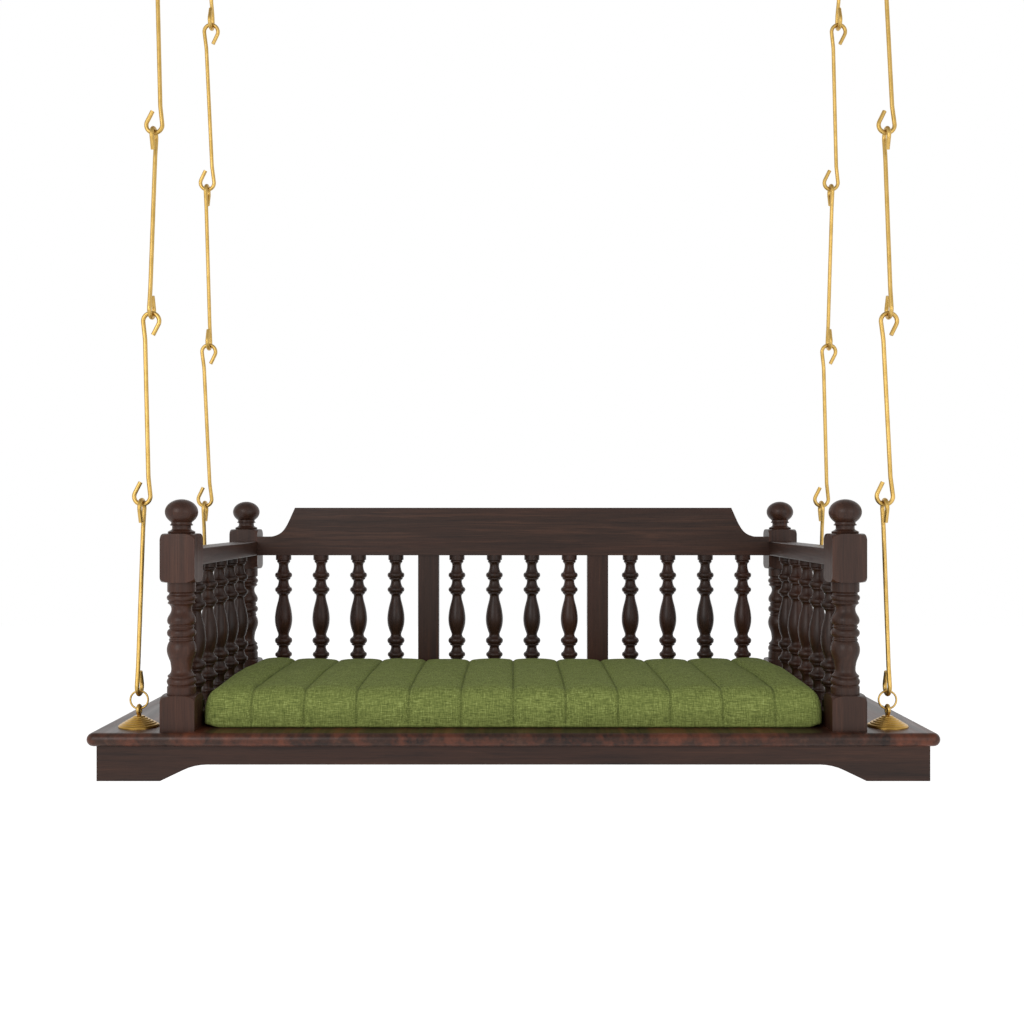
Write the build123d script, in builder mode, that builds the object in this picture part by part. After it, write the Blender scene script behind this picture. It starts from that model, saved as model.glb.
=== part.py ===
from build123d import *
import os
from math import atan2, cos, radians, sin, sqrt

os.makedirs("parts", exist_ok=True)

# ---------------------------------------------------------------------------
# Jhoola swing. Millimetres, +Z up, the front looks along -Y.
# The origin is under the middle of the seat, level with the aprons' lower edge.
# Heights written as h are measured up from the top of the seat board, and Z(h)
# turns them into the frame's z.
# ---------------------------------------------------------------------------

# Seat
ceiling_h = 1560.0          # ceiling above the board's top
board_l, board_w, board_t = 1524.0, 660.0, 24.0   # 60 x 26 in plank
nose_r = 11.8               # bullnose round the plank's edge
apron_in = 16.0             # apron's face behind the plank's edge
apron_t = 20.0
apron_h = 63.3              # full depth at the bracket ends
apron_mid = 33.8            # depth between the brackets
bracket_front = 114.0       # flat length of a front bracket end, from the apron's end
bracket_side = 80.0
bracket_drop_l, bracket_drop_z = 42.0, 20.0       # straight slant of the bracket
bracket_arc_l = 42.0        # run of the arc that eases the slant into the middle
batten_w, batten_h, batten_x = 60.0, 28.0, (-380.0, 0.0, 380.0)
block_s, block_h = 20.0, 40.0

# Posts
post_x, post_y = 604.0, 274.3
post_s = 62.5
post_r_corner = post_s / 2 * sqrt(2) + 0.4

# Rails
rail_bottom = 297.0         # underside of the arm rails and the crest rail
arm_top = 328.0
arm_w = 56.0
crest_t = 36.0
crest_top, crest_end_h = 403.5, 338.5
foot_h = 27.0               # bottom rails
stile_x, stile_w, stile_t = 190.0, 46.6, 28.0

# Spindles
back_spindle_x = (
    (-517.2, -432.8, -348.4, -264.0),
    (-126.6, -42.2, 42.2, 126.6),
    (264.0, 348.4, 432.8, 517.2),
)
side_spindle_y = (-186.5, -93.25, 0.0, 93.25, 186.5)

# Cushion
cush_x, cush_y0, cush_y1, cush_t = 567.0, -274.0, 230.0, 79.0

# Chains
eye_x, eye_y = 688.0, 252.0     # a ring's lowest wire centre
eye_h = 32.5
lean = 0.046                    # a chain's lean towards the middle, mm per mm of height
drift = 13.0                    # sideways step of a rod that lies in the XZ plane
wire_r = 4.0                    # hanger rods
hook_r = 15.0                   # hook's bend, to the wire's centre
hook_tip = (-4.6, 26.3)         # hook's tip from the bend's centre
shank_off = 9.5                 # straight shank beside the hook's centre
gap = 0.3                       # running gap where two wires bear on each other
rear_gap = 1.2                  # the same at the rear rings, where the linkage is opened
pitch = 349.5                   # bearing point to bearing point on a rod
ring_r, ring_wire = 16.25, 1.75
eye_loop_r, eye_wire = 7.5, 3.5

# Fasteners
eye_shank_r = 4.0
bell_r, bell_h = 37.0, 20.0
stud_r, stud_l = 5.0, 55.0
lag_r, lag_head_r, lag_head_h, lag_l = 4.0, 6.5, 5.5, 84.0
screw_r, screw_head_r, screw_l = 2.25, 4.5, 42.0


board_bottom = -board_t
apron_bottom = board_bottom - apron_h


def Z(h):
    return h - apron_bottom


ceiling_z = Z(ceiling_h)
ax0, ay0 = board_l / 2 - apron_in, board_w / 2 - apron_in   # aprons' outer faces


def save(part, name):
    part.label = name
    export_step(part, f"parts/{name}.step")
    return part


# ---------------------------------------------------------------------------
# Turned work. A profile is a chain of pieces from (radius, height) points:
# ("line", p), ("arc", mid, end) and ("curve", [points...]), each joined to the last.
# ---------------------------------------------------------------------------
def draw_profile(start, pieces, at):
    """Draws the outline of a turned piece from the axis out, up the profile, and back to the axis."""
    p = (start[0], at + start[1])
    Line((0, p[1]), p)
    for kind, *rest in pieces:
        if kind == "line":
            q = (rest[0][0], at + rest[0][1])
            Line(p, q)
        elif kind == "arc":
            q = (rest[1][0], at + rest[1][1])
            ThreePointArc(p, (rest[0][0], at + rest[0][1]), q)
        else:
            pts = [p] + [(a, at + b) for a, b in rest[0]]
            q = pts[-1]
            Spline(*pts)
        p = q
    Line(p, (0, p[1]))
    Line((0, p[1]), (0, at + start[1]))


def ellipse_points(a, b, z0, t0, t1, n):
    return [
        (a * cos(radians(t0 + (t1 - t0) * i / n)), z0 + b * sin(radians(t0 + (t1 - t0) * i / n)))
        for i in range(n + 1)
    ]


# ------------------------------- seat board --------------------------------
eye_places = [(sx * eye_x, sy * eye_y) for sy in (-1, 1) for sx in (-1, 1)]
post_places = [(sx * post_x, sy * post_y) for sy in (-1, 1) for sx in (-1, 1)]
screw_y = (-230.0, -80.0, 80.0, 230.0)
screw_places = [(x, y) for x in batten_x for y in screw_y]

with BuildPart() as seat_board:
    with BuildSketch(Plane.XY.offset(Z(-board_t))):
        RectangleRounded(board_l, board_w, 14)
    extrude(amount=board_t)
    fillet(seat_board.faces().sort_by(Axis.Z)[-1].edges(), nose_r)
    fillet(seat_board.faces().sort_by(Axis.Z)[0].edges(), nose_r)
    with BuildSketch(Plane.XY.offset(Z(-board_t) - 1)):
        with Locations(*eye_places):
            Circle(eye_shank_r + 0.25)
        with Locations(*post_places):
            Circle(lag_r)
    extrude(amount=board_t + 2, mode=Mode.SUBTRACT)
    with BuildSketch(Plane.XY.offset(Z(-board_t) - 1)):
        with Locations(*screw_places):
            Circle(screw_r)
    extrude(amount=screw_l - batten_h + 1, mode=Mode.SUBTRACT)
save(seat_board.part, "seat_board")


# --------------------------------- aprons ----------------------------------
def apron_face(half, bracket):
    """Outline of an apron seen from outside: full depth at the bracket ends, shallow between them."""
    z0, z1 = Z(apron_bottom), Z(board_bottom)
    zm = z1 - apron_mid
    x1 = half - bracket
    x2 = x1 - bracket_drop_l
    x3 = x2 - bracket_arc_l
    z2 = z0 + bracket_drop_z
    # arc tangent to the slant at (x2, z2) and level at the middle: its sagitta closes the rest
    mid = (
        x2 - bracket_arc_l * 0.46,
        z2 + (zm - z2) * 0.715,
    )
    Polyline((-x1, z0), (-half, z0), (-half, z1), (half, z1), (half, z0), (x1, z0), (x2, z2))
    ThreePointArc((x2, z2), mid, (x3, zm))
    Line((x3, zm), (-x3, zm))
    ThreePointArc((-x3, zm), (-mid[0], mid[1]), (-x2, z2))
    Line((-x2, z2), (-x1, z0))


for name, sy in (("apron_front", -1), ("apron_back", 1)):
    face = Plane(origin=(0, sy * ay0, 0), x_dir=(1, 0, 0), z_dir=(0, -1, 0))
    with BuildPart() as apron:
        with BuildSketch(face):
            with BuildLine():
                apron_face(ax0, bracket_front)
            make_face()
        extrude(amount=apron_t * sy)
        outer = apron.edges().filter_by(Axis.Z).group_by(Axis.Y)[0 if sy < 0 else -1]
        fillet(outer, 1.5)
    save(apron.part, name)

side_half = ay0 - apron_t
for name, sx in (("apron_left", -1), ("apron_right", 1)):
    face = Plane(origin=(sx * ax0, 0, 0), x_dir=(0, 1, 0), z_dir=(1, 0, 0))
    with BuildPart() as apron:
        with BuildSketch(face):
            with BuildLine():
                apron_face(side_half, bracket_side)
            make_face()
        extrude(amount=-apron_t * sx)
    save(apron.part, name)

# ---------------------------- battens and blocks ---------------------------
for name, x in (("batten_left", batten_x[0]), ("batten_middle", batten_x[1]), ("batten_right", batten_x[2])):
    with BuildPart() as batten:
        with BuildSketch(Plane.XY.offset(Z(board_bottom - batten_h))):
            with Locations((x, 0)):
                Rectangle(batten_w, 2 * (ay0 - apron_t))
        extrude(amount=batten_h)
        chamfer(batten.edges().filter_by(Axis.Y).group_by(Axis.Z)[0], 3)
        with BuildSketch(Plane.XY.offset(Z(board_bottom - batten_h) - 1)):
            with Locations(*[(x, y) for y in screw_y]):
                Circle(screw_r)
        extrude(amount=batten_h + 2, mode=Mode.SUBTRACT)
        with BuildSketch(Plane.XY.offset(Z(board_bottom - batten_h))):
            with Locations(*[(x, y) for y in screw_y]):
                Circle(screw_head_r)
        extrude(amount=2.4, mode=Mode.SUBTRACT)
    save(batten.part, name)

with BuildPart() as corner_blocks:
    c = (ax0 - apron_t - block_s / 2, ay0 - apron_t - block_s / 2)
    with BuildSketch(Plane.XY.offset(Z(board_bottom - block_h))):
        with Locations(*[(sx * c[0], sy * c[1]) for sx in (-1, 1) for sy in (-1, 1)]):
            Rectangle(block_s, block_s)
    extrude(amount=block_h)
save(corner_blocks.part, "corner_blocks")

# ---------------------------------- posts ----------------------------------
# Each square block is the square stick cut by a turned envelope that rounds its shoulders.
a_sh = post_r_corner - 30.5
lower_envelope = [
    ("line", (post_r_corner, 49)),
    ("curve", [(r + 30.5, z) for r, z in ellipse_points(a_sh, 14.2, 49, 0, 90, 5)][1:]),
    ("line", (25.7, 63.2)),
]
upper_envelope = [
    ("line", (30.5, 266.6)),
    ("curve", [(r + 30.5, z) for r, z in ellipse_points(a_sh, 12.4, 279, -90, 0, 5)][1:]),
    ("line", (post_r_corner, 340.5)),
    ("curve", [(r + 30.5, z) for r, z in ellipse_points(a_sh, 14.4, 340.5, 0, 90, 5)][1:]),
    ("line", (23.5, 354.9)),
]
turning = [
    ("line", (25.7, 76.4)),
    ("line", (23.4, 80.0)),
    ("arc", (26.1, 86.4), (23.1, 92.7)),
    ("line", (24.4, 95.2)),
    ("arc", (24.8, 96.3), (24.4, 97.4)),
    ("curve", [(21.3, 100.0), (19.0, 103.7), (18.3, 109.0), (19.0, 116.4), (20.0, 121.9), (21.9, 127.3), (24.0, 132.8), (25.5, 138.2), (26.1, 144.6), (25.2, 151.0), (23.2, 156.6), (21.0, 160.0)]),
    ("arc", (22.4, 161.9), (21.3, 163.8)),
    ("line", (21.3, 167.0)),
    ("arc", (25.8, 174.4), (21.3, 181.9)),
    ("line", (21.3, 183.6)),
    ("arc", (22.3, 185.6), (21.2, 187.6)),
    ("line", (21.2, 189.2)),
    ("curve", [(24.6, 192.9), (25.4, 197.4), (23.6, 203.8), (19.5, 211.0), (18.0, 218.3), (19.2, 223.4), (21.2, 225.8)]),
    ("line", (23.6, 227.6)),
    ("arc", (24.4, 228.9), (23.6, 230.2)),
    ("line", (22.5, 232.9)),
    ("arc", (26.1, 238.4), (22.6, 244.0)),
    ("line", (21.8, 246.6)),
    ("line", (25.3, 249.7)),
    ("line", (25.3, 266.6)),
]
finial = [
    ("line", (24.7, 357.6)),
    ("curve", [(22.6, 359.4), (18.6, 361.4), (16.7, 365.0)]),
    ("line", (16.9, 368.9)),
    ("line", (19.8, 369.6)),
    ("arc", (20.4, 370.6), (19.8, 371.6)),
    ("line", (18.6, 372.4)),
    ("line", (18.2, 375.3)),
    ("curve", ellipse_points(29.5, 23.3, 394.0, -52, 88, 14)),
]
finial[-1] = ("curve", finial[-1][1][1:])

for name, (px, py) in zip(("post_front_left", "post_front_right", "post_rear_left", "post_rear_right"), post_places):
    side = Plane(origin=(px, py, Z(0)), x_dir=(1, 0, 0), z_dir=(0, -1, 0))
    axis = Axis((px, py, 0), (0, 0, 1))
    with BuildPart() as post:
        # the stick, cut to the turned envelope of its two blocks
        with BuildSketch(Plane.XY.offset(Z(0))):
            with Locations((px, py)):
                Rectangle(post_s, post_s)
        extrude(amount=354.9)
        with BuildSketch(side):
            with BuildLine():
                draw_profile((post_r_corner, 0), lower_envelope + turning + upper_envelope, 0)
            make_face()
        revolve(axis=axis, mode=Mode.INTERSECT)
        # collar, neck and ball
        with BuildSketch(side):
            with BuildLine():
                draw_profile((23.5, 354.9), finial, 0)
            make_face()
        revolve(axis=axis)
        # hole of the bolt that holds it down
        with BuildSketch(Plane.XY.offset(Z(0) - 1)):
            with Locations((px, py)):
                Circle(lag_r)
        extrude(amount=lag_l - board_t + 1, mode=Mode.SUBTRACT)
    save(post.part, name)

# --------------------------------- spindle ---------------------------------
# Height from the board. Beads at 73, 104, 219 and 252, each with a small step beside it.
spindle_profile = [
    ("line", (17.1, 39.8)),
    ("line", (13.9, 41.0)),
    ("arc", (14.6, 43.5), (13.9, 46.0)),
    ("curve", [(11.6, 48.4), (10.7, 52.5), (10.6, 57.5), (11.3, 61.5), (12.9, 64.2)]),
    ("line", (15.0, 65.6)),
    ("line", (15.0, 68.0)),
    ("line", (17.2, 69.2)),
    ("arc", (18.7, 73.4), (17.2, 77.6)),
    ("line", (15.6, 78.3)),
    ("curve", [(13.4, 81.0), (11.6, 85.6), (10.8, 90.0), (11.6, 92.4), (13.2, 93.8)]),
    ("line", (15.4, 95.0)),
    ("line", (15.4, 98.0)),
    ("line", (17.2, 99.2)),
    ("arc", (19.3, 104.7), (17.2, 110.2)),
    ("line", (14.6, 111.8)),
    ("curve", [(12.6, 114.4), (11.7, 118.2), (12.9, 122.8), (14.9, 128.2), (18.0, 140.0), (19.2, 155.0), (17.7, 170.0), (14.7, 184.5), (12.0, 194.5), (10.6, 201.6), (10.5, 206.0), (12.6, 209.2)]),
    ("line", (15.0, 211.4)),
    ("line", (15.0, 213.7)),
    ("line", (17.2, 214.8)),
    ("arc", (18.9, 219.3), (17.2, 223.8)),
    ("line", (15.6, 224.5)),
    ("curve", [(13.8, 227.2), (12.1, 231.6), (11.1, 236.4), (11.3, 239.8), (13.0, 241.6)]),
    ("line", (15.2, 243.2)),
    ("line", (15.2, 246.0)),
    ("line", (17.2, 247.2)),
    ("arc", (18.9, 252.0), (17.2, 256.8)),
    ("line", (14.4, 258.0)),
    ("curve", [(12.5, 262.4), (11.0, 268.4), (10.6, 274.6), (11.5, 278.2), (13.8, 280.4)]),
    ("arc", (14.6, 282.8), (13.9, 285.2)),
    ("line", (17.1, 286.4)),
    ("line", (17.1, rail_bottom)),
]

with BuildPart() as spindle:
    with BuildSketch(Plane.XZ):
        with BuildLine():
            draw_profile((17.1, foot_h), spindle_profile, 0)
        make_face()
    revolve(axis=Axis.Z)

crest_y = post_y - post_s / 2 + crest_t / 2      # middle of the back
arm_x = post_x - post_s / 2 + arm_w / 2          # middle of an arm
for name, xs in zip(("back_spindles_left", "back_spindles_middle", "back_spindles_right"), back_spindle_x):
    with BuildPart() as group:
        with Locations(*[(x, crest_y, Z(0)) for x in xs]):
            add(spindle.part)
    save(group.part, name)
for name, sx in (("side_spindles_left", -1), ("side_spindles_right", 1)):
    with BuildPart() as group:
        with Locations(*[(sx * arm_x, y, Z(0)) for y in side_spindle_y]):
            add(spindle.part)
    save(group.part, name)

# ---------------------------------- rails ----------------------------------
inner_x = post_x - post_s / 2       # inner faces of the posts
inner_y = post_y - post_s / 2
for name, sx in (("arm_rail_left", -1), ("arm_rail_right", 1)):
    with BuildPart() as arm:
        with BuildSketch(Plane.XY.offset(Z(rail_bottom))):
            with Locations((sx * arm_x, 0)):
                Rectangle(arm_w, 2 * inner_y)
        extrude(amount=arm_top - rail_bottom)
        long_edges = arm.edges().filter_by(Axis.Y)
        outer_side = long_edges.group_by(Axis.X)[0 if sx < 0 else -1]
        fillet(outer_side.sort_by(Axis.Z)[-1], 10)
        fillet(arm.edges().filter_by(Axis.Y).group_by(Axis.X)[-1 if sx < 0 else 0], 2)
        fillet(arm.edges().filter_by(Axis.Y).group_by(Axis.X)[0 if sx < 0 else -1].sort_by(Axis.Z)[0], 3)
    save(arm.part, name)
for name, sx in (("side_foot_rail_left", -1), ("side_foot_rail_right", 1)):
    with BuildPart() as foot:
        with BuildSketch(Plane.XY.offset(Z(0))):
            with Locations((sx * arm_x, 0)):
                Rectangle(arm_w, 2 * inner_y)
        extrude(amount=foot_h)
        fillet(foot.edges().filter_by(Axis.Y).group_by(Axis.Z)[-1], 3)
    save(foot.part, name)
with BuildPart() as back_foot_rail:
    with BuildSketch(Plane.XY.offset(Z(0))):
        with Locations((0, crest_y)):
            Rectangle(2 * inner_x, crest_t)
    extrude(amount=foot_h)
    fillet(back_foot_rail.edges().filter_by(Axis.X).group_by(Axis.Z)[-1], 3)
save(back_foot_rail.part, "back_foot_rail")

with BuildPart() as crest_rail:
    with BuildSketch(Plane(origin=(0, inner_y, Z(0)), x_dir=(1, 0, 0), z_dir=(0, -1, 0))):
        with BuildLine():
            Line((-488.5, crest_top), (488.5, crest_top))
            Line((488.5, crest_top), (501.5, 374.5))
            Spline((501.5, 374.5), (507.0, 363.8), (514.5, 352.6), (525.4, 344.0), (536.5, 339.9), (546.6, crest_end_h),
                   tangents=[(0.41, -0.91), (1, -0.04)])
            Polyline((546.6, crest_end_h), (inner_x, crest_end_h), (inner_x, rail_bottom), (-inner_x, rail_bottom),
                     (-inner_x, crest_end_h), (-546.6, crest_end_h))
            Spline((-546.6, crest_end_h), (-536.5, 339.9), (-525.4, 344.0), (-514.5, 352.6), (-507.0, 363.8), (-501.5, 374.5),
                   tangents=[(1, 0.04), (0.41, 0.91)])
            Line((-501.5, 374.5), (-488.5, crest_top))
        make_face()
    extrude(amount=-crest_t)
    fillet(crest_rail.edges().filter_by(Axis.X).group_by(Axis.Z)[-1], 2.5)
save(crest_rail.part, "crest_rail")

for name, x in (("back_stile_left", -stile_x), ("back_stile_right", stile_x)):
    with BuildPart() as stile:
        with BuildSketch(Plane.XY.offset(Z(foot_h))):
            with Locations((x, crest_y)):
                Rectangle(stile_w, stile_t)
        extrude(amount=rail_bottom - foot_h)
        fillet(stile.edges().filter_by(Axis.Z), 2.5)
    save(stile.part, name)

# --------------------------------- cushion ---------------------------------
with BuildPart() as cushion:
    with BuildSketch(Plane.XY.offset(Z(0.3))):
        with Locations((0, (cush_y0 + cush_y1) / 2)):
            RectangleRounded(2 * cush_x, cush_y1 - cush_y0, 16)
    extrude(amount=cush_t)
    fillet(cushion.faces().sort_by(Axis.Z)[-1].edges(), 15)
    fillet(cushion.faces().sort_by(Axis.Z)[0].edges(), 7)
save(cushion.part, "cushion")

# ------------------------------ bells and roses ----------------------------
# A spun shell of six scalloped steps, open underneath.
bell_steps = [(37.0, 1.6), (31.6, 5.2), (26.4, 8.3), (21.4, 11.2), (16.4, 14.0), (11.4, 16.9), (6.8, bell_h)]


def bell_outline(flip, bore):
    """Closed section of a bell: flip = 1 stands on its rim, flip = -1 hangs from it."""
    y = lambda v: flip * v
    Line((37.0, 0), (37.0, y(1.6)))
    for (r0, h0), (r1, h1) in zip(bell_steps, bell_steps[1:]):
        c = ((r0 + r1) / 2, (h0 + h1) / 2)
        d = sqrt((r1 - r0) ** 2 + (h1 - h0) ** 2)
        n = ((h1 - h0) / d, (r0 - r1) / d)
        ThreePointArc((r0, y(h0)), (c[0] + 0.95 * n[0], y(c[1] + 0.95 * n[1])), (r1, y(h1)))
    Polyline((6.8, y(bell_h)), (bore, y(bell_h)), (bore, y(bell_h - 3.2)), (34.6, y(1.2)), (34.6, 0), (37.0, 0))


with BuildPart() as bell:
    with BuildSketch(Plane.XZ):
        with BuildLine():
            bell_outline(1, eye_shank_r + 0.25)
        make_face()
    revolve(axis=Axis.Z)
with BuildPart() as rose:
    with BuildSketch(Plane.XZ):
        with BuildLine():
            bell_outline(-1, wire_r + 0.25)
        make_face()
    revolve(axis=Axis.Z)

with BuildPart() as bell_canopies:
    with Locations(*[(x, y, Z(0)) for x, y in eye_places]):
        add(bell.part)
save(bell_canopies.part, "bell_canopies")

# ------------------------ chains: bearing points and rods ------------------
def unit(v):
    n = sqrt(sum(c * c for c in v))
    return tuple(c / n for c in v)


def step(p, v, d):
    return tuple(a + b * d for a, b in zip(p, v))


def hook_points(reach):
    """Corner points of a rod's lower hook in the rod's own plane: tip, start, foot and end of the bend, and the
    knee where the shank starts. (u, w), w up the rod; reach is from w = 0 down to the hook's lowest wire centre."""
    c = -reach + hook_r
    tx, tz = hook_tip
    d = sqrt(tx * tx + tz * tz)
    a1 = atan2(tz, tx) + acos_(hook_r / d)
    p1 = (hook_r * cos(a1), c + hook_r * sin(a1))
    a2 = radians(9.0)
    p2 = (hook_r * cos(a2), c + hook_r * sin(a2))
    run = (p2[0] - shank_off) / sin(a2)
    k = (shank_off, p2[1] + run * cos(a2))
    return (tx, c + tz), p1, (0, c - hook_r), p2, k


def acos_(x):
    return atan2(sqrt(1 - x * x), x)


bend_r = 70.0


def wire_along(plane, radius, draw):
    """Sweeps a round wire along the line that draw() makes in the plane."""
    with BuildPart() as wire:
        with BuildLine(plane) as path:
            draw()
        start = path.wire() @ 0
        with BuildSketch(Plane(origin=start, z_dir=path.wire() % 0)):
            Circle(radius)
        sweep(path=path.wire())
    return wire


def rod_line(reach):
    tip, p1, low, p2, k = hook_points(reach)
    neg = lambda p: (-p[0], -p[1])
    Line(tip, p1)
    ThreePointArc(p1, low, p2)
    FilletPolyline(p2, k, neg(k), neg(p2), radius=bend_r)
    ThreePointArc(neg(p2), neg(low), neg(p1))
    Line(neg(p1), neg(tip))


def chain(sx, sy):
    """Bearing points of one chain, from the ring up to the ceiling hook, and the rods' planes."""
    up_yz = unit((0, -sy * lean, 1))
    up_xz = unit((drift / pitch, -sy * lean, 1))
    eye = (sx * eye_x, sy * eye_y, Z(eye_h))
    g = rear_gap if sy > 0 else gap
    ring_c = step(eye, up_yz, ring_r)
    low = step(eye, up_yz, 2 * ring_r - ring_wire - wire_r - g)      # lowest wire centre of the first rod
    first = step(low, up_yz, wire_r + gap / 2)
    joints, planes = [first], []
    for i in range(4):
        up = up_yz if i % 2 == 0 else up_xz
        joints.append(step(joints[-1], up, pitch))
        mid = step(joints[-2], up, pitch / 2)
        u = (0, sy, 0) if i % 2 == 0 else (1, 0, 0)
        # u made square to the rod
        k = sum(a * b for a, b in zip(u, up))
        u = unit(tuple(a - k * b for a, b in zip(u, up)))
        n = (u[1] * up[2] - u[2] * up[1], u[2] * up[0] - u[0] * up[2], u[0] * up[1] - u[1] * up[0])
        planes.append(Plane(origin=mid, x_dir=u, z_dir=n))
    return dict(eye=eye, up=up_yz, ring=ring_c, low=low, joints=joints, planes=planes)


reach = pitch / 2 + wire_r + gap / 2
corners = {"front_left": (-1, -1), "front_right": (1, -1), "rear_left": (-1, 1), "rear_right": (1, 1)}
chains = {}
for where, (sx, sy) in corners.items():
    ch = chains[where] = chain(sx, sy)
    for i, plane in enumerate(ch["planes"]):
        rod = wire_along(plane, wire_r, lambda: rod_line(reach))
        save(rod.part, f"rod_{where}_{i + 1}")

    up = ch["up"]
    # the ring lies in the plane of X and the chain's line, so it turns about the line square to both
    with BuildPart() as ring:
        with BuildSketch(Plane(origin=ch["ring"], x_dir=up, z_dir=(1, 0, 0))):
            with Locations((ring_r, 0)):
                Circle(ring_wire)
        revolve(axis=Axis(ch["ring"], (0, -up[2], up[1])))
    save(ring.part, f"ring_{where}")

    # ceiling hook: the hook of a rod on a plumb shank, a collar, and a stud above the ceiling
    top = ch["joints"][-1]
    centre = step(top, up, hook_r - wire_r - gap / 2)
    yz = Plane(origin=(top[0], top[1], centre[2]), x_dir=(0, sy, 0), z_dir=(sy, 0, 0))
    u0 = (centre[1] - top[1]) * sy
    with BuildPart() as hook:
        with BuildLine(yz) as path:
            tip, p1, low, p2, k = hook_points(hook_r)
            shift = lambda p: (p[0] + u0, p[1])
            Line(shift(tip), shift(p1))
            ThreePointArc(shift(p1), shift(low), shift(p2))
            FilletPolyline(shift(p2), shift((12.2, 19.0)), (0, 46.0), (0, ceiling_z - centre[2] - 6.0), radius=26)
        with BuildSketch(Plane(origin=path.wire() @ 0, z_dir=path.wire() % 0)):
            Circle(wire_r)
        sweep(path=path.wire())
        with BuildSketch(Plane.XY.offset(ceiling_z - 6.0)):
            with Locations((top[0], top[1])):
                RegularPolygon(8.0, 6)
        extrude(amount=6.0)
        with BuildSketch(Plane.XY.offset(ceiling_z)):
            with Locations((top[0], top[1])):
                Circle(stud_r)
        extrude(amount=stud_l)
        chamfer(hook.faces().sort_by(Axis.Z)[-1].edges(), 1.2)
    save(hook.part, f"ceiling_hook_{where}")

# eye bolts: a loop in the plane of Y and Z on a shank that goes down through the board
with BuildPart() as eye_bolts:
    for ch in chains.values():
        loop = step(ch["eye"], ch["up"], -(eye_loop_r - eye_wire - ring_wire - gap))
        with BuildSketch(Plane(origin=loop, x_dir=(0, 0, 1), z_dir=(0, -1, 0))):
            with Locations((eye_loop_r, 0)):
                Circle(eye_wire)
        revolve(axis=Axis(loop, (1, 0, 0)))
        with BuildSketch(Plane.XY.offset(Z(-board_t - 12))):
            with Locations((ch["eye"][0], ch["eye"][1])):
                Circle(eye_shank_r)
        extrude(amount=loop[2] - eye_loop_r - Z(-board_t - 12))
save(eye_bolts.part, "eye_bolts")

with BuildPart() as ceiling_roses:
    with Locations(*[(c["joints"][-1][0], c["joints"][-1][1], ceiling_z) for c in chains.values()]):
        add(rose.part)
save(ceiling_roses.part, "ceiling_roses")

# -------------------------------- fasteners --------------------------------
with BuildPart() as washers:
    with BuildSketch(Plane.XY.offset(Z(board_bottom - 1.6))):
        with Locations(*eye_places):
            Circle(12.0)
            Circle(eye_shank_r + 0.2, mode=Mode.SUBTRACT)
    extrude(amount=1.6)
save(washers.part, "eye_bolt_washers")

with BuildPart() as nuts:
    with BuildSketch(Plane.XY.offset(Z(board_bottom - 1.6 - 6.5))):
        with Locations(*eye_places):
            RegularPolygon(7.5, 6)
            Circle(eye_shank_r, mode=Mode.SUBTRACT)
    extrude(amount=6.5)
save(nuts.part, "eye_bolt_nuts")

with BuildPart() as post_bolts:
    with BuildSketch(Plane.XY.offset(Z(board_bottom - lag_head_h))):
        with Locations(*post_places):
            RegularPolygon(lag_head_r, 6)
    extrude(amount=lag_head_h)
    with BuildSketch(Plane.XY.offset(Z(board_bottom))):
        with Locations(*post_places):
            Circle(lag_r)
    extrude(amount=lag_l)
save(post_bolts.part, "post_bolts")

with BuildPart() as batten_screws:
    with BuildSketch(Plane.XY.offset(Z(board_bottom - batten_h))):
        with Locations(*screw_places):
            Circle(screw_head_r)
    extrude(amount=2.4)
    with BuildSketch(Plane.XY.offset(Z(board_bottom - batten_h))):
        with Locations(*screw_places):
            Circle(screw_r)
    extrude(amount=screw_l)
save(batten_screws.part, "batten_screws")

for where, ch in chains.items():
    print(where, "eye", [round(v, 3) for v in ch["eye"]])
    print("   low", [round(v, 3) for v in ch["low"]], "up", [round(v, 5) for v in ch["up"]])
    for i, j in enumerate(ch["joints"]):
        print("   joint", i, [round(v, 3) for v in j])
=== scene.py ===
import math
import bpy
import numpy as np
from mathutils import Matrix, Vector, noise


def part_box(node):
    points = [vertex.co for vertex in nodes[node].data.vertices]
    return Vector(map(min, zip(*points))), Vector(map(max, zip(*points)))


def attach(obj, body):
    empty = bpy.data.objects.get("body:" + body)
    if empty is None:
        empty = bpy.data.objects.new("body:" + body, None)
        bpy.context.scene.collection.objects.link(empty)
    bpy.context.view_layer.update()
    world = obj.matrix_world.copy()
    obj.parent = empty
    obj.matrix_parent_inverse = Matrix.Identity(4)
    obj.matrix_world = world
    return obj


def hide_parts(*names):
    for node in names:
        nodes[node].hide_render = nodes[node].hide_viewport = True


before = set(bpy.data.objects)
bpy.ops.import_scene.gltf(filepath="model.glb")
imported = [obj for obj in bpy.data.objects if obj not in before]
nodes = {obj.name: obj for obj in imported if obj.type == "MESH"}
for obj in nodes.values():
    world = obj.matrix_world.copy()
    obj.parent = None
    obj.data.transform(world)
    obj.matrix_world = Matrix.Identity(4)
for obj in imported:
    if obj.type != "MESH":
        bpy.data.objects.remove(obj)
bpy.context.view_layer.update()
scene = bpy.context.scene

BOARD_TOP = 0.0873          # the seat board's top, from the frame's origin
CORNERS = ("front_left", "front_right", "rear_left", "rear_right")


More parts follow.
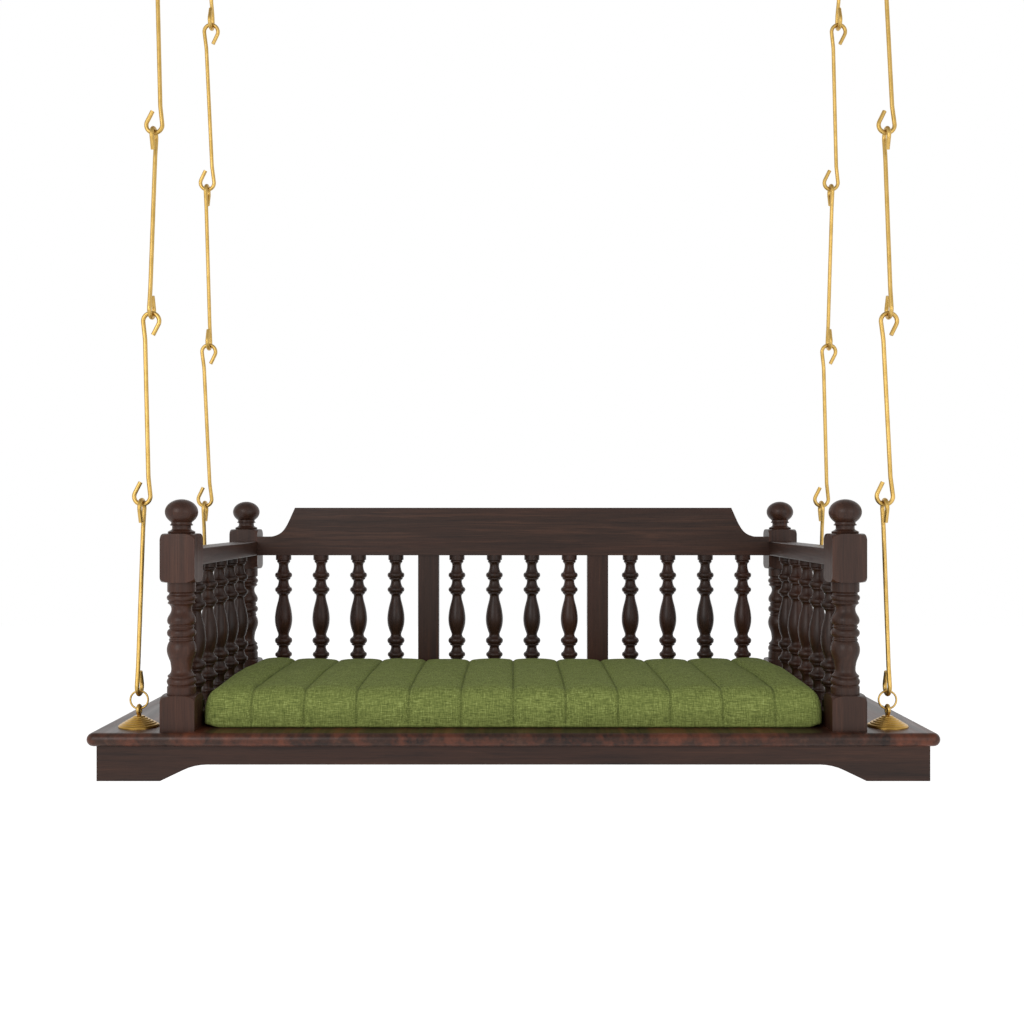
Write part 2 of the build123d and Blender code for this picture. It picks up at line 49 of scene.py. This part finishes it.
# ---------------------------------------------------------------------------
# small helpers for node trees
# ---------------------------------------------------------------------------
class Tree:
    def __init__(self, name):
        self.mat = bpy.data.materials.new(name)
        self.mat.use_nodes = True
        self.nt = self.mat.node_tree
        self.nt.nodes.clear()
        self.out = self.nt.nodes.new("ShaderNodeOutputMaterial")
        self.bsdf = self.nt.nodes.new("ShaderNodeBsdfPrincipled")
        self.nt.links.new(self.bsdf.outputs[0], self.out.inputs[0])
        self.coord = self.nt.nodes.new("ShaderNodeTexCoord").outputs["Object"]

    def link(self, a, b):
        self.nt.links.new(a, b)

    def put(self, socket, value):
        if hasattr(value, "is_output"):
            self.link(value, socket)
        else:
            socket.default_value = value

    def mapping(self, scale, offset=(0, 0, 0), vector=None):
        n = self.nt.nodes.new("ShaderNodeMapping")
        n.inputs["Scale"].default_value = scale
        n.inputs["Location"].default_value = offset
        self.link(vector or self.coord, n.inputs["Vector"])
        return n.outputs[0]

    def noise(self, vector, scale, detail=3.0, rough=0.55, distortion=0.0):
        n = self.nt.nodes.new("ShaderNodeTexNoise")
        n.inputs["Scale"].default_value = scale
        n.inputs["Detail"].default_value = detail
        n.inputs["Roughness"].default_value = rough
        n.inputs["Distortion"].default_value = distortion
        self.link(vector, n.inputs["Vector"])
        return n.outputs["Fac"]

    def math(self, op, a, b=None, c=None, clamp=False):
        n = self.nt.nodes.new("ShaderNodeMath")
        n.operation = op
        n.use_clamp = clamp
        for i, v in enumerate((a, b, c)):
            if v is not None:
                self.put(n.inputs[i], v)
        return n.outputs[0]

    def ramp(self, fac, stops, mode="EASE"):
        n = self.nt.nodes.new("ShaderNodeValToRGB")
        n.color_ramp.interpolation = mode
        e = n.color_ramp.elements
        while len(e) < len(stops):
            e.new(0.5)
        for s, (p, c) in zip(e, stops):
            s.position = p
            s.color = (*c, 1) if len(c) == 3 else c
        self.link(fac, n.inputs[0])
        return n.outputs[0]

    def span(self, value, lo, hi, to_lo=0.0, to_hi=1.0):
        n = self.nt.nodes.new("ShaderNodeMapRange")
        n.clamp = True
        self.put(n.inputs[0], value)
        for i, v in enumerate((lo, hi, to_lo, to_hi)):
            n.inputs[i + 1].default_value = v
        return n.outputs[0]

    def mix(self, fac, a, b, mode="MIX"):
        n = self.nt.nodes.new("ShaderNodeMix")
        n.data_type = "RGBA"
        n.blend_type = mode
        self.put(n.inputs[0], fac)
        self.put(n.inputs[6], a if hasattr(a, "is_output") else (*a, 1))
        self.put(n.inputs[7], b if hasattr(b, "is_output") else (*b, 1))
        return n.outputs[2]

    def separate(self, vector=None):
        n = self.nt.nodes.new("ShaderNodeSeparateXYZ")
        self.link(vector or self.coord, n.inputs[0])
        return n.outputs

    def bump(self, height, strength, distance, normal=None):
        n = self.nt.nodes.new("ShaderNodeBump")
        n.inputs["Strength"].default_value = strength
        n.inputs["Distance"].default_value = distance
        self.link(height, n.inputs["Height"])
        if normal is not None:
            self.link(normal, n.inputs["Normal"])
        return n.outputs[0]


# ---------------------------------------------------------------------------
# dark stained wood; grain is the axis along which it runs
# ---------------------------------------------------------------------------
def wood(name, grain, offset=(0, 0, 0), tone=1.0, red=0.25, rough=(0.34, 0.46), streak=1.0, spread=(0.36, 0.66)):
    t = Tree(name)
    along = {"X": (0.055, 1, 1), "Y": (1, 0.055, 1), "Z": (1, 1, 0.055)}[grain]
    fine = {"X": (0.022, 1, 1), "Y": (1, 0.022, 1), "Z": (1, 1, 0.022)}[grain]
    v = t.mapping(along, offset)
    w = t.mapping(fine, offset)
    board = t.noise(v, 11.0, 2.0, 0.5, 0.4)
    figure = t.noise(v, 62.0 * streak, 5.0, 0.62, 0.8)
    streaks = t.noise(w, 190.0 * streak, 3.0, 0.6)
    pores = t.noise(w, 1150.0, 2.0, 0.5)
    cloud = t.noise(t.mapping(along, (5.0, 3.0, 1.0)), 26.0 if grain == "Y" else 9.0, 4.0, 0.6)
    f = t.math("ADD", t.math("MULTIPLY", figure, 0.46), t.math("ADD", t.math("MULTIPLY", board, 0.26), t.math("MULTIPLY", streaks, 0.28)))
    k = tone
    col = t.ramp(f, [
        (spread[0], (0.0100 * k, 0.0048 * k, 0.0036 * k)),
        (0.50, (0.0250 * k, 0.0108 * k, 0.0068 * k)),
        (spread[1], (0.0520 * k, 0.0218 * k, 0.0128 * k)),
    ])
    warm = t.math("MULTIPLY", t.span(cloud, 0.46, 0.68), red)
    col = t.mix(warm, col, (0.092 * k, 0.026 * k, 0.0125 * k))
    deep = t.span(pores, 0.36, 0.50, 0.50, 1.0)
    col = t.mix(1.0, col, t.mix(deep, (0.45, 0.45, 0.45), (1.0, 1.0, 1.0)), "MULTIPLY")
    t.link(col, t.bsdf.inputs["Base Color"])
    t.link(t.span(figure, 0.3, 0.7, rough[1], rough[0]), t.bsdf.inputs["Roughness"])
    t.bsdf.inputs["Specular IOR Level"].default_value = 0.20
    t.bsdf.inputs["Coat Weight"].default_value = 0.07
    t.bsdf.inputs["Coat Roughness"].default_value = 0.22
    b = t.bump(pores, 0.22, 0.0004)
    b = t.bump(streaks, 0.12, 0.0006, b)
    t.link(b, t.bsdf.inputs["Normal"])
    return t.mat


# ---------------------------------------------------------------------------
# satin gold brass
# ---------------------------------------------------------------------------
def brass(name, light, dark, rough):
    t = Tree(name)
    a = t.noise(t.coord, 38.0, 4.0, 0.6)
    drawn = t.noise(t.mapping((1, 1, 0.02)), 2600.0, 2.0, 0.5)
    spots = t.noise(t.coord, 420.0, 3.0, 0.65)
    col = t.ramp(a, [(0.32, dark), (0.62, light)])
    col = t.mix(t.span(spots, 0.62, 0.78, 0.0, 0.18), col, tuple(0.62 * c for c in dark))
    t.link(col, t.bsdf.inputs["Base Color"])
    t.bsdf.inputs["Metallic"].default_value = 1.0
    t.link(t.span(a, 0.3, 0.7, rough + 0.08, rough), t.bsdf.inputs["Roughness"])
    b = t.bump(drawn, 0.03, 0.0001)
    t.link(b, t.bsdf.inputs["Normal"])
    return t.mat


def steel(name):
    t = Tree(name)
    a = t.noise(t.coord, 160.0, 4.0, 0.6)
    t.link(t.ramp(a, [(0.3, (0.36, 0.36, 0.38)), (0.7, (0.60, 0.60, 0.60))]), t.bsdf.inputs["Base Color"])
    t.bsdf.inputs["Metallic"].default_value = 1.0
    t.link(t.span(a, 0.3, 0.7, 0.46, 0.30), t.bsdf.inputs["Roughness"])
    t.link(t.bump(a, 0.1, 0.0003), t.bsdf.inputs["Normal"])
    return t.mat


# ---------------------------------------------------------------------------
# slubby olive linen
# ---------------------------------------------------------------------------
SEAM_PITCH = 0.0957


def linen(name):
    t = Tree(name)
    x, y, z = t.separate()[0:3]
    run = t.math("ADD", y, z)
    # slubs: threads along X, and threads that cross them over the top and down the front
    weft = t.noise(t.mapping((55, 560, 560)), 1.0, 3.0, 0.6)
    warp = t.noise(t.mapping((560, 55, 55), (3.1, 7.7, 1.3)), 1.0, 3.0, 0.6)
    weft2 = t.noise(t.mapping((150, 900, 900), (9, 2, 5)), 1.0, 2.0, 0.5)
    warp2 = t.noise(t.mapping((900, 150, 150), (4, 8, 6)), 1.0, 2.0, 0.5)
    patch = t.noise(t.coord, 16.0, 3.0, 0.55)
    s = t.math("ADD", t.math("MULTIPLY", weft, 0.36), t.math("MULTIPLY", warp, 0.26))
    s = t.math("ADD", s, t.math("ADD", t.math("MULTIPLY", weft2, 0.20), t.math("MULTIPLY", warp2, 0.18)))
    # plain weave, 1.15 mm threads
    k = 2 * math.pi / 0.0023
    wx = t.math("SINE", t.math("MULTIPLY", x, k))
    wy = t.math("SINE", t.math("MULTIPLY", run, k))
    weave = t.math("MULTIPLY", wx, wy)
    weave01 = t.span(weave, -1.0, 1.0)
    col = t.ramp(s, [
        (0.36, (0.050, 0.060, 0.0180)),
        (0.46, (0.118, 0.144, 0.0380)),
        (0.54, (0.190, 0.226, 0.0620)),
        (0.65, (0.350, 0.400, 0.1350)),
    ], "LINEAR")
    col = t.mix(0.55, col, t.mix(weave01, (0.72, 0.72, 0.70), (1.12, 1.12, 1.10)), "MULTIPLY")
    col = t.mix(t.span(patch, 0.35, 0.65, 0.0, 0.22), col, (0.130, 0.158, 0.0430))
    # the sewn lines lie in shade and are drawn in dark thread
    u = t.math("SUBTRACT", t.math("FRACT", t.math("ADD", t.math("DIVIDE", x, SEAM_PITCH), 20.5)), 0.5)
    d = t.math("MULTIPLY", t.math("ABSOLUTE", u), SEAM_PITCH)
    inside = t.math("LESS_THAN", t.math("ABSOLUTE", x), SEAM_PITCH * 5.4)
    line = t.math("MULTIPLY", t.span(d, 0.0006, 0.0026, 1.0, 0.0), inside)
    stitch = t.span(t.math("SINE", t.math("MULTIPLY", run, 2 * math.pi / 0.0052)), -0.4, 0.2, 0.62, 1.0)
    col = t.mix(t.math("MULTIPLY", t.math("MULTIPLY", line, stitch), 0.35), col, (0.020, 0.030, 0.008))
    t.link(col, t.bsdf.inputs["Base Color"])
    t.bsdf.inputs["Roughness"].default_value = 0.88
    t.bsdf.inputs["Specular IOR Level"].default_value = 0.08
    t.bsdf.inputs["Sheen Weight"].default_value = 0.02
    t.bsdf.inputs["Sheen Roughness"].default_value = 0.5
    t.bsdf.inputs["Sheen Tint"].default_value = (0.75, 0.85, 0.45, 1)
    b = t.bump(weave, 0.35, 0.0005)
    b = t.bump(s, 0.55, 0.0016, b)
    t.link(b, t.bsdf.inputs["Normal"])
    return t.mat


# ---------------------------------------------------------------------------
# cushion: a closed cover with twelve channels sewn front to back
# ---------------------------------------------------------------------------
lo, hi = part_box("cushion")


def rounded_section(half_y, z0, z1, r_top, r_low, n_flat, n_side, n_arc):
    """Closed loop of (y, z) round a cushion's section, from the middle of its underside."""
    pts = []

    def run(a, b, n):
        for i in range(n):
            f = i / n
            pts.append((a[0] + (b[0] - a[0]) * f, a[1] + (b[1] - a[1]) * f))

    def arc(cy, cz, r, t0, t1, n):
        for i in range(n):
            a = math.radians(t0 + (t1 - t0) * i / n)
            pts.append((cy + r * math.cos(a), cz + r * math.sin(a)))

    h = half_y
    run((0, z0), (h - r_low, z0), n_flat)
    arc(h - r_low, z0 + r_low, r_low, -90, 0, n_arc)
    run((h, z0 + r_low), (h, z1 - r_top), n_side)
    arc(h - r_top, z1 - r_top, r_top, 0, 90, n_arc)
    run((h - r_top, z1), (-h + r_top, z1), 2 * n_flat)
    arc(-h + r_top, z1 - r_top, r_top, 90, 180, n_arc)
    run((-h, z1 - r_top), (-h, z0 + r_low), n_side)
    arc(-h + r_low, z0 + r_low, r_low, 180, 270, n_arc)
    run((-h + r_low, z0), (0, z0), n_flat)
    return pts


def build_cushion():
    cy = (lo.y + hi.y) / 2
    half_y = (hi.y - lo.y) / 2 - 0.002
    half_x = hi.x - 0.0005
    z0, z1 = lo.z, lo.z + 0.0700
    seams = [SEAM_PITCH * i for i in range(-5, 6)]
    # columns bunch up beside each seam
    near = [0.0022, 0.0062, 0.012, 0.020, 0.029, 0.0385]
    xs = set()
    for s in seams:
        xs.add(round(s, 5))
        for d in near:
            xs.add(round(s + d, 5))
            xs.add(round(s - d, 5))
    xs = [x for x in xs if abs(x) < half_x - 0.05]
    for s in (-1, 1):
        for i in range(8):
            xs.append(s * (half_x - 0.05 + 0.05 * math.sin(math.radians(90 * i / 8))))
        xs.append(s * (half_x - 0.0003))
    xs = sorted(set(round(x, 5) for x in xs))
    verts, faces, pins, seam_rows = [], [], [], []
    n = None
    for x in xs:
        # the plan's corners are round, and so are the two ends in section
        e = half_x - abs(x)
        r_plan, r_end = 0.015, 0.030
        cut_plan = r_plan - math.sqrt(max(r_plan ** 2 - max(r_plan - e, 0) ** 2, 0)) if e < r_plan else 0.0
        cut_z = r_end - math.sqrt(max(r_end ** 2 - max(r_end - e, 0) ** 2, 0)) if e < r_end else 0.0
        hy = half_y - cut_plan
        a0, a1 = z0 + min(cut_z, 0.005), z1 - cut_z
        r = min(0.036, (a1 - a0) / 2 - 0.001)
        rl = min(0.006, (a1 - a0) / 2 - 0.001)
        loop = rounded_section(hy, a0, a1, r, rl, 30, 4, 6)
        n = len(loop)
        verts += [(x, cy + p[0], p[1]) for p in loop]
    for i in range(len(xs) - 1):
        for j in range(n):
            a, b = i * n + j, i * n + (j + 1) % n
            faces.append((a, b, b + n, a + n))
    for end in (0, len(xs) - 1):
        c = len(verts)
        ring = [end * n + j for j in range(n)]
        mid = Vector((xs[end], cy, sum(verts[k][2] for k in ring) / n))
        # two inner loops and a fan close the end
        last = ring
        for f in (0.7, 0.4):
            new = []
            for k in ring:
                p = Vector(verts[k])
                new.append(len(verts))
                q = mid + (p - mid) * f
                verts.append((xs[end] + (0.0003 if end else -0.0003), q.y, q.z))
            for j in range(n):
                quad = (last[j], last[(j + 1) % n], new[(j + 1) % n], new[j])
                faces.append(quad if end else quad[::-1])
            last = new
        c = len(verts)
        verts.append(tuple(mid))
        for j in range(n):
            tri = (last[j], last[(j + 1) % n], c)
            faces.append(tri if end else tri[::-1])
    mesh = bpy.data.meshes.new("channel_cushion")
    mesh.from_pydata(verts, [], faces)
    mesh.update()
    ob = bpy.data.objects.new("channel_cushion", mesh)
    scene.collection.objects.link(ob)
    return ob, seams, (z0, z1, cy, half_y, half_x)


def nearest_seam(x, seams):
    return min(abs(x - s) for s in seams)


def puff(ob, seams, dims):
    """Blows the channels up between the sewn lines: cloth under pressure, held along the seams and underneath."""
    z0, z1, cy, half_y, half_x = dims
    mesh = ob.data
    rest = np.array([v.co for v in mesh.vertices])
    group = ob.vertex_groups.new(name="sewn")
    for v in mesh.vertices:
        on_seam = nearest_seam(v.co.x, seams) < 1e-4
        if v.co.z < z0 + 0.004:
            group.add([v.index], 1.0, "REPLACE")
        elif on_seam:
            group.add([v.index], 0.97, "REPLACE")
    mod = ob.modifiers.new("cloth", "CLOTH")
    s = mod.settings
    s.quality = 4
    s.mass = 0.25
    s.tension_stiffness = s.compression_stiffness = 12
    s.shear_stiffness = 6
    s.bending_stiffness = 0.4
    s.air_damping = 3
    s.vertex_group_mass = "sewn"
    s.pin_stiffness = 4
    s.use_pressure = True
    s.uniform_pressure_force = 5.0
    s.effector_weights.gravity = 0.0
    mod.collision_settings.use_collision = False
    mod.point_cache.frame_start = 1
    mod.point_cache.frame_end = 20
    scene.frame_start, scene.frame_end = 1, 20
    for f in range(1, 19):
        scene.frame_set(f)
    dg = bpy.context.evaluated_depsgraph_get()
    ev = ob.evaluated_get(dg).to_mesh()
    new = np.array([v.co for v in ev.vertices])
    ob.evaluated_get(dg).to_mesh_clear()
    ob.modifiers.remove(mod)
    scene.frame_set(1)
    move = new - rest
    length = np.linalg.norm(move, axis=1)
    cap = 0.011
    keep = np.where(length > cap, cap / np.maximum(length, 1e-9), 1.0)
    return rest + move * keep[:, None], rest


def shape_cushion():
    ob, seams, dims = build_cushion()
    z0, z1, cy, half_y, half_x = dims
    mesh = ob.data
    co, rest = puff(ob, seams, dims)
    mesh.vertices.foreach_set("co", co.astype(np.float32).ravel())
    mesh.update()
    # smooth cover at twice the resolution
    sub = ob.modifiers.new("smooth", "SUBSURF")
    sub.levels = sub.render_levels = 1
    dg = bpy.context.evaluated_depsgraph_get()
    fine = bpy.data.meshes.new_from_object(ob.evaluated_get(dg))
    ob.modifiers.clear()
    old = ob.data
    ob.data = fine
    bpy.data.meshes.remove(old)
    mesh = ob.data
    mesh.name = "channel_cushion"
    top = max(v.co.z for v in mesh.vertices)
    normals = [v.normal.copy() for v in mesh.vertices]
    for v, nrm in zip(mesh.vertices, normals):
        p = v.co.copy()
        if p.z < z0 + 0.006:
            p.z = max(p.z, z0)
            v.co = p
            continue
        d = nearest_seam(p.x, seams)
        w = 1.0 - abs(nrm.x) ** 2
        # sewn line: a narrow crease
        depth = 0.0030 * math.exp(-(d / 0.0030) ** 1.3) + 0.0026 * math.exp(-(d / 0.016) ** 1.5)
        # gathers along it
        g = noise.noise(Vector((round(p.x / SEAM_PITCH) * 3.7, (p.y + p.z) * 52.0, 1.7)))
        gather = 0.0011 * g * math.exp(-((d - 0.007) / 0.008) ** 2)
        # loose wave of the filling
        soft = 0.0016 * noise.noise(p * 9.0 + Vector((4.1, 2.2, 0.0)))
        crown = 0.0035 * max(nrm.z, 0.0) * (1 - min(abs(p.y - cy) / half_y, 1.0) ** 2)
        v.co = p + nrm * (-(depth) * w + gather * w + soft + crown)
    mesh.update()
    for poly in mesh.polygons:
        poly.use_smooth = True
    return ob


cushion = shape_cushion()
cushion.data.materials.append(linen("olive_linen"))
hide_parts("cushion")
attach(cushion, "seat")

# ---------------------------------------------------------------------------
# materials of the carried-over nodes
# ---------------------------------------------------------------------------


def paint(name, material):
    ob = nodes[name]
    ob.data.materials.clear()
    ob.data.materials.append(material)
    for poly in ob.data.polygons:
        poly.use_smooth = True
    ob.data.set_sharp_from_angle(angle=math.radians(32))


board_wood = wood("board_wood", "Y", (0.3, 0.1, 0.0), tone=1.15, red=0.95, rough=(0.30, 0.42), streak=0.8, spread=(0.38, 0.64))
apron_long = wood("apron_wood_long", "X", (1.2, 0.4, 0.9), tone=0.95, red=0.12)
apron_short = wood("apron_wood_short", "Y", (2.2, 0.6, 0.2), tone=0.95, red=0.12)
rail_long = wood("rail_wood_long", "X", (0.7, 0.9, 1.9), tone=1.15, red=0.3, streak=1.2)
rail_short = wood("rail_wood_short", "Y", (1.7, 0.2, 2.9), tone=1.15, red=0.2)

for i, c in enumerate(CORNERS):
    paint(f"post_{c}", wood(f"post_wood_{c}", "Z", (0.31 * i, 0.77 * i + 0.2, 0.13 * i), tone=1.3, red=0.3, streak=1.15, spread=(0.34, 0.68)))
for i, name in enumerate(("back_spindles_left", "back_spindles_middle", "back_spindles_right", "side_spindles_left", "side_spindles_right")):
    paint(name, wood(f"turned_wood_{name}", "Z", (0.45 * i + 0.9, 0.3 * i, 0.0), tone=0.95, red=0.22, streak=1.3))
for i, name in enumerate(("back_stile_left", "back_stile_right")):
    paint(name, wood(f"stile_wood_{i}", "Z", (0.8 * i + 3.1, 0.4, 0.0), tone=1.1, red=0.25))
paint("seat_board", board_wood)
for name in ("apron_front", "apron_back"):
    paint(name, apron_long)
for name in ("apron_left", "apron_right", "batten_left", "batten_middle", "batten_right"):
    paint(name, apron_short)
for name in ("crest_rail", "back_foot_rail"):
    paint(name, rail_long)
for name in ("arm_rail_left", "arm_rail_right", "side_foot_rail_left", "side_foot_rail_right"):
    paint(name, rail_short)
paint("corner_blocks", apron_short)

wire_brass = brass("satin_brass_wire", (0.57, 0.375, 0.115), (0.49, 0.315, 0.085), 0.36)
cast_brass = brass("satin_brass_turned", (0.55, 0.335, 0.085), (0.42, 0.245, 0.055), 0.27)
for c in CORNERS:
    for i in (1, 2, 3, 4):
        paint(f"rod_{c}_{i}", wire_brass)
    paint(f"ring_{c}", wire_brass)
    paint(f"ceiling_hook_{c}", wire_brass)
paint("eye_bolts", wire_brass)
paint("bell_canopies", cast_brass)
paint("ceiling_roses", cast_brass)
zinc = steel("zinc_steel")
for name in ("eye_bolt_washers", "eye_bolt_nuts", "post_bolts", "batten_screws"):
    paint(name, zinc)

# ---------------------------------------------------------------------------
# floor, light and camera
# ---------------------------------------------------------------------------
mesh = bpy.data.meshes.new("floor")
s, z = 14.0, -1.05
mesh.from_pydata([(-s, -s, z), (s, -s, z), (s, s, z), (-s, s, z)], [], [(0, 1, 2, 3)])
floor = bpy.data.objects.new("floor", mesh)
scene.collection.objects.link(floor)
t = Tree("pale_floor")
n = t.noise(t.coord, 3.0, 2.0)
t.link(t.ramp(n, [(0.3, (0.99, 0.99, 0.99)), (0.7, (1.0, 1.0, 1.0))]), t.bsdf.inputs["Base Color"])
t.bsdf.inputs["Roughness"].default_value = 0.9
t.bsdf.inputs["Emission Color"].default_value = (1, 1, 1, 1)
t.bsdf.inputs["Emission Strength"].default_value = 0.34
t.bsdf.inputs["Specular IOR Level"].default_value = 0.0
floor.data.materials.append(t.mat)

world = bpy.data.worlds.new("studio")
scene.world = world
world.use_nodes = True
bg = world.node_tree.nodes["Background"]
wc = world.node_tree.nodes.new("ShaderNodeTexCoord")
ws = world.node_tree.nodes.new("ShaderNodeSeparateXYZ")
wr = world.node_tree.nodes.new("ShaderNodeMapRange")
wr.interpolation_type = "SMOOTHSTEP"
wr.inputs[1].default_value, wr.inputs[2].default_value = 0.45, 0.95
wr.inputs[3].default_value, wr.inputs[4].default_value = 1.0, 0.45
world.node_tree.links.new(wc.outputs["Generated"], ws.inputs[0])
world.node_tree.links.new(ws.outputs[2], wr.inputs[0])
world.node_tree.links.new(wr.outputs[0], bg.inputs[1])
bg.inputs[0].default_value = (1, 1, 1, 1)


def area(name, place, target, size, power, colour=(1, 1, 1)):
    lamp = bpy.data.lights.new(name, "AREA")
    lamp.shape = "RECTANGLE"
    lamp.size, lamp.size_y = size
    lamp.energy = power
    lamp.color = colour
    ob = bpy.data.objects.new(name, lamp)
    ob.location = place
    ob.rotation_euler = (Vector(target) - Vector(place)).to_track_quat("-Z", "Y").to_euler()
    scene.collection.objects.link(ob)
    return ob


area("key", (-1.8, -3.4, 1.5), (0, 0, 0.3), (2.0, 2.0), 46)
area("fill", (2.2, -3.2, 0.9), (0, 0, 0.3), (2.0, 2.0), 18)

cam = bpy.data.cameras.new("view")
cam.sensor_fit = "HORIZONTAL"
cam.sensor_width = 36.0
cam.lens = 43.456
cam.clip_end = 60
view = bpy.data.objects.new("view", cam)
view.location = (-0.0025, -2.5245, 0.394 + BOARD_TOP)
view.rotation_euler = (math.radians(90), 0, 0)
scene.collection.objects.link(view)
scene.camera = view
scene.view_settings.view_transform = "Standard"
scene.view_settings.look = "None"
